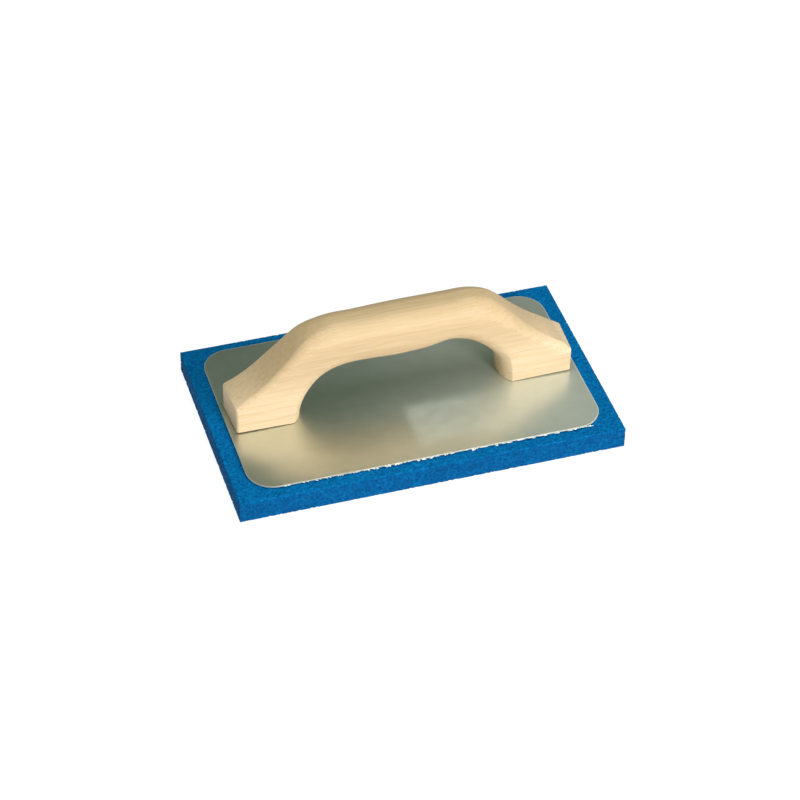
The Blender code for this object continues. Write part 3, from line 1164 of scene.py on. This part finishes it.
@dataclass
class Studio:
    """A pale floor, soft light from the front right, and the camera."""

    aim_mm: tuple[float, float, float] = (2.40, 6.95, 0.0)
    azimuth: float = -0.313243565
    elevation: float = 0.715123101
    roll: float = 0.0199466
    distance_mm: float = 1878.0
    lens_mm: float = 129.98
    sensor_mm: float = 36.0
    clip: tuple[float, float] = (0.05, 50.0)
    floor_half: float = 4.0
    floor_drop: float = 0.2 * MM
    floor_glow: float = 0.86
    floor_tone: float = 0.25
    surround: tuple[float, float, float] = (0.118, 0.148, 0.114)
    boxes: tuple[SoftBox, ...] = (
        SoftBox("key", 66.0, 0.9, (0.80, -2.40, 0.95)),
        SoftBox("overhead", 15.0, 1.1, (-0.12, -0.25, 1.6), (0.97, 1.0, 0.94)),
        SoftBox("left_fill", 0.8, 1.0, (-1.8, -0.6, 0.5), (0.85, 1.0, 0.9)),
    )

    def camera(self) -> None:
        """Place the camera on a line from its aim, turned by azimuth, elevation and roll."""
        data = bpy.data.cameras.new("camera")
        data.lens = self.lens_mm
        data.sensor_width = self.sensor_mm
        data.clip_start, data.clip_end = self.clip
        camera = bpy.data.objects.new("camera", data)
        turn = (
            Matrix.Rotation(self.azimuth, 4, "Z")
            @ Matrix.Rotation(pi / 2 - self.elevation, 4, "X")
            @ Matrix.Rotation(self.roll, 4, "Z")
        )
        aim = Vector(self.aim_mm) * MM
        back = turn.to_3x3() @ Vector((0, 0, 1))
        camera.matrix_world = Matrix.Translation(aim + back * self.distance_mm * MM) @ turn
        bpy.context.scene.collection.objects.link(camera)
        bpy.context.scene.camera = camera

    def floor(self) -> None:
        """Lay the floor: a flat sheet whose paint glows a little, so that it stays pale."""
        half = self.floor_half
        corners = [(-half, -half), (half, -half), (half, half), (-half, half)]
        mesh = bpy.data.meshes.new("floor")
        mesh.from_pydata([(x, y, -self.floor_drop) for x, y in corners], [], [(0, 1, 2, 3)])
        floor = bpy.data.objects.new("floor", mesh)
        bpy.context.scene.collection.objects.link(floor)
        tone = (self.floor_tone,) * 3 + (1.0,)
        paint, shader = new_material("matt_floor_paint", Roughness=0.9, Base_Color=tone)
        shader.inputs["Emission Color"].default_value = (1.0, 1.0, 1.0, 1.0)
        shader.inputs["Emission Strength"].default_value = self.floor_glow
        dress(floor, paint)

    def light(self) -> None:
        """Hang the soft boxes and set a dim surround that only the camera sees as pale."""
        for box in self.boxes:
            data = bpy.data.lights.new(box.name, "AREA")
            data.energy = box.watts
            data.shape = "DISK"
            data.size = box.size
            data.color = box.colour
            lamp = bpy.data.objects.new(box.name, data)
            lamp.location = box.place
            lamp.rotation_euler = (-lamp.location).to_track_quat("-Z", "Y").to_euler()
            bpy.context.scene.collection.objects.link(lamp)

        world = bpy.data.worlds.new("surround")
        world.use_nodes = True
        tree = world.node_tree
        tree.nodes.clear()
        path = add_node(tree, "ShaderNodeLightPath")
        dim = add_node(tree, "ShaderNodeBackground", {"Color": (*self.surround, 1.0)})
        pale = add_node(tree, "ShaderNodeBackground", {"Color": (1.0, 1.0, 1.0, 1.0)})
        both = add_node(tree, "ShaderNodeMixShader", {"Fac": path.outputs["Is Camera Ray"]})
        tree.links.new(dim.outputs[0], both.inputs[1])
        tree.links.new(pale.outputs[0], both.inputs[2])
        add_node(tree, "ShaderNodeOutputWorld", {"Surface": both})
        bpy.context.scene.world = world

    def build(self) -> None:
        """Set up the camera, the floor and the light, with colours shown as they are."""
        self.camera()
        self.floor()
        self.light()
        bpy.context.scene.view_settings.view_transform = "Standard"


def report(piece: bpy.types.Object) -> None:
    """Log a piece's name and size."""
    size = ", ".join(f"{length / MM:.1f}" for length in piece.dimensions)
    LOG.info("%s: %d faces, %s mm", piece.name, len(piece.data.polygons), size)


def main() -> None:
    """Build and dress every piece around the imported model."""
    logging.basicConfig(level=logging.INFO, format="%(message)s")
    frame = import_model()
    nodes = frame["nodes"]
    Studio().build()

    rubber = CutSpongeRubber().material()
    cement = DriedCement().material()
    pad = RubberPad(*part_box(Node.PAD.value)).build()
    dress(pad, rubber)
    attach(pad, BODY)
    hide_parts(Node.PAD.value)
    report(pad)

    low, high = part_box(Node.HANDLE.value)
    handle = BridgeHandle(seat=low.z, end=high.x).build()
    dress(handle, SandedBirch().material())
    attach(handle, BODY)
    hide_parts(Node.HANDLE.value)
    report(handle)

    plate_low, plate_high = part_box(Node.PLATE.value)
    sheet = GalvanisedSheet((plate_high.x / MM, plate_high.y / MM))
    dress(nodes[Node.PLATE.value], sheet.material())
    dress(nodes[Node.FILM.value], DriedCement("cement_film", "#E9E4CF", "#CFC6A4", 4.0).material())
    zinc = ZincPlatedSteel().material()
    for name in sorted(nodes):
        if name.startswith("handle_screw"):
            dress(nodes[name], zinc)

    beads = SqueezeOut(plate_low.y, pad_top=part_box(Node.PAD.value)[1].z, plate_top=plate_low.z + MM)
    lumps = beads.build()
    dress(lumps, cement)
    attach(lumps, BODY)
    report(lumps)


if __name__ == "__main__":
    main()
